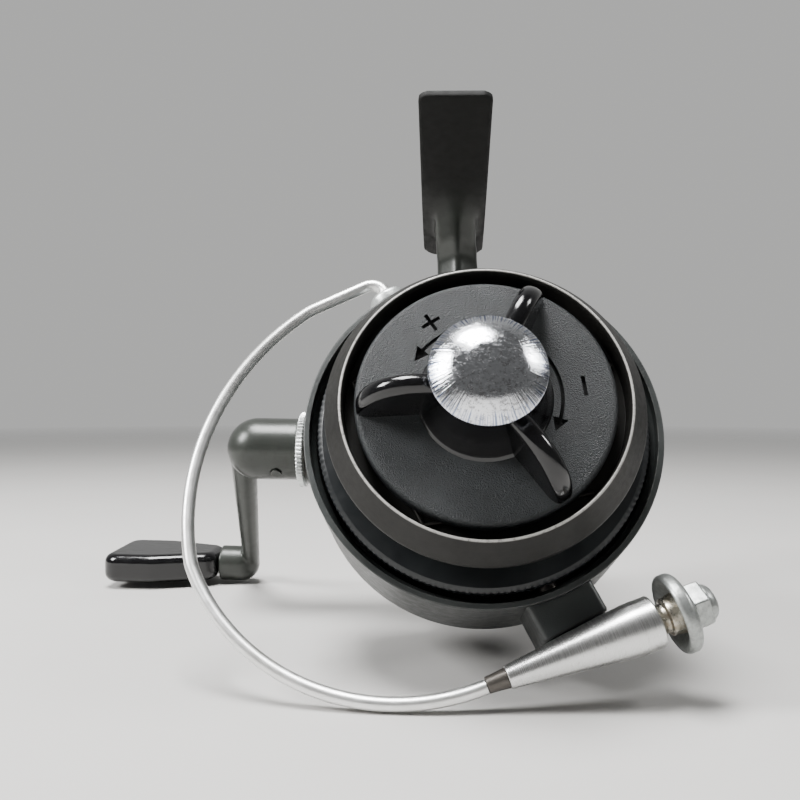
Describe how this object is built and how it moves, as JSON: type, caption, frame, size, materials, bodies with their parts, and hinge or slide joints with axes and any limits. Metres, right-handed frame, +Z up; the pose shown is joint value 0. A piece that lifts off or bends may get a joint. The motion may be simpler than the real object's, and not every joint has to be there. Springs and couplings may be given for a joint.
{
  "type": "open-face fishing reel",
  "caption": "Open-face spinning reel: foot and stem, side crank with paddle knob, cup rotor with folding wire bail and line roller, spool with finned drag knob.",
  "frame": {"origin": "centre of the foot's top face, which presses against the rod's seat", "axes": "+Z up towards the rod, -Y forward along the spool's axis, crank on the -X side"},
  "size_m": [0.1277, 0.118, 0.1142],
  "materials": {
    "case_paint": "satin grey-green paint",
    "rotor_paint": "satin charcoal paint",
    "spool_black": "semi-gloss",
    "lip_metal": "satin pewter, worn front edge",
    "knob_black": "fine leather-like grain",
    "chrome": "polished, fine scratches",
    "aluminium": "satin",
    "steel": "machined",
    "dark_steel": "blackened",
    "zinc": "zinc plate",
    "nickel": "tarnished nickel on brass",
    "bronze": "sintered bronze",
    "paddle_black": "polished",
    "fibre": "pressed fibre, oiled",
    "spring_steel": "drawn wire"
  },
  "bodies": {
    "frame": {"housing": "case_paint", "side_cover": "case_paint", "cover_screws": "steel", "pinion_bearing": "steel", "crank_bushing": "bronze"},
    "crank": {"crank_arm": "case_paint", "crank_cross_pin": "case_paint", "drive_shaft": "steel", "crank_lock_ring": "aluminium", "knob_pin": "steel", "drive_gear": "bronze", "anti_reverse_ratchet": "dark_steel", "oscillation_pin": "steel"},
    "knob": {"crank_knob": "paddle_black"},
    "anti_reverse": {"anti_reverse_spindle": "steel", "anti_reverse_lever": "aluminium", "anti_reverse_pawl": "dark_steel"},
    "rotor": {"pinion": "bronze", "pinion_sleeve": "bronze", "rotor": "rotor_paint", "rotor_nut": "steel", "rotor_washer": "steel", "counterweight": "zinc", "far_pivot_screw": "steel", "near_pivot_screw": "dark_steel", "bail_spring": "dark_steel", "trip_lever_pin": "steel"},
    "trip_lever": {"trip_lever": "zinc"},
    "bail": {"bail_wire": "aluminium", "bail_ferrule": "dark_steel", "line_cone": "aluminium", "roller_stud": "steel", "roller_flange": "chrome", "roller_nut": "zinc", "bail_arm": "rotor_paint", "bail_end_plate": "zinc"},
    "line_roller": {"line_roller": "nickel"},
    "shaft": {"main_shaft": "steel", "shaft_collar": "steel", "click_ratchet": "bronze", "oscillation_slider": "zinc", "drag_fibre_washers": "fibre", "drag_steel_washers": "steel", "drag_pressure_plate": "steel", "drag_spring": "spring_steel"},
    "spool": {"spool_drum": "spool_black", "spool_lip": "lip_metal", "drag_clip": "spring_steel"},
    "drag_knob": {"drag_knob": "knob_black", "drag_nut": "bronze", "button_spring": "spring_steel"},
    "release_button": {"release_button": "chrome"}
  },
  "joints": [
    {"name": "rotor_turn", "type": "hinge", "parent": "frame", "child": "rotor", "pos_m": [0.0054, -0.0206, -0.0673], "axis": [0, 1, 0], "continuous": true},
    {"name": "crank_turn", "type": "hinge", "parent": "frame", "child": "crank", "pos_m": [0.0054, 0.0194, -0.0578], "axis": [1, 0, 0], "continuous": true},
    {"name": "knob_turn", "type": "hinge", "parent": "crank", "child": "knob", "pos_m": [-0.0551, 0.05929, -0.07515], "axis": [1, 0, 0], "continuous": true},
    {"name": "bail_flip", "type": "hinge", "parent": "rotor", "child": "bail", "pos_m": [0.00328, -0.0146, -0.06843], "axis": [-0.4695, 0, 0.8829], "range_deg": [0, 140]},
    {"name": "roller_turn", "type": "hinge", "parent": "bail", "child": "line_roller", "pos_m": [0.00916, -0.0238, -0.10867], "axis": [0.9291, 0, 0.3697], "continuous": true},
    {"name": "trip_lever_turn", "type": "hinge", "parent": "rotor", "child": "trip_lever", "pos_m": [0.00556, -0.0008, -0.08251], "axis": [0, 1, 0], "range_deg": [0, 12], "stiffness_Nm_per_rad": 0.0005},
    {"name": "shaft_slide", "type": "slide", "parent": "frame", "child": "shaft", "axis": [0, -1, 0], "range_m": [0, 0.0066]},
    {"name": "spool_slip", "type": "hinge", "parent": "shaft", "child": "spool", "pos_m": [0.0054, -0.0206, -0.0673], "axis": [0, 1, 0], "continuous": true},
    {"name": "drag_knob_turn", "type": "hinge", "parent": "shaft", "child": "drag_knob", "pos_m": [0.0054, -0.0326, -0.0673], "axis": [0, -1, 0], "range_deg": [-170, 170]},
    {"name": "button_press", "type": "slide", "parent": "drag_knob", "child": "release_button", "axis": [0, 1, 0], "range_m": [0, 0.0012], "stiffness_N_per_m": 300, "deforming": ["button_spring"]},
    {"name": "anti_reverse_turn", "type": "hinge", "parent": "frame", "child": "anti_reverse", "pos_m": [-0.0036, 0.0338, -0.0643], "axis": [1, 0, 0], "range_deg": [0, 15]}
  ],
  "couplings": [
    {"joint": "crank_turn", "follows": "rotor_turn", "ratio": -0.3}
  ]
}
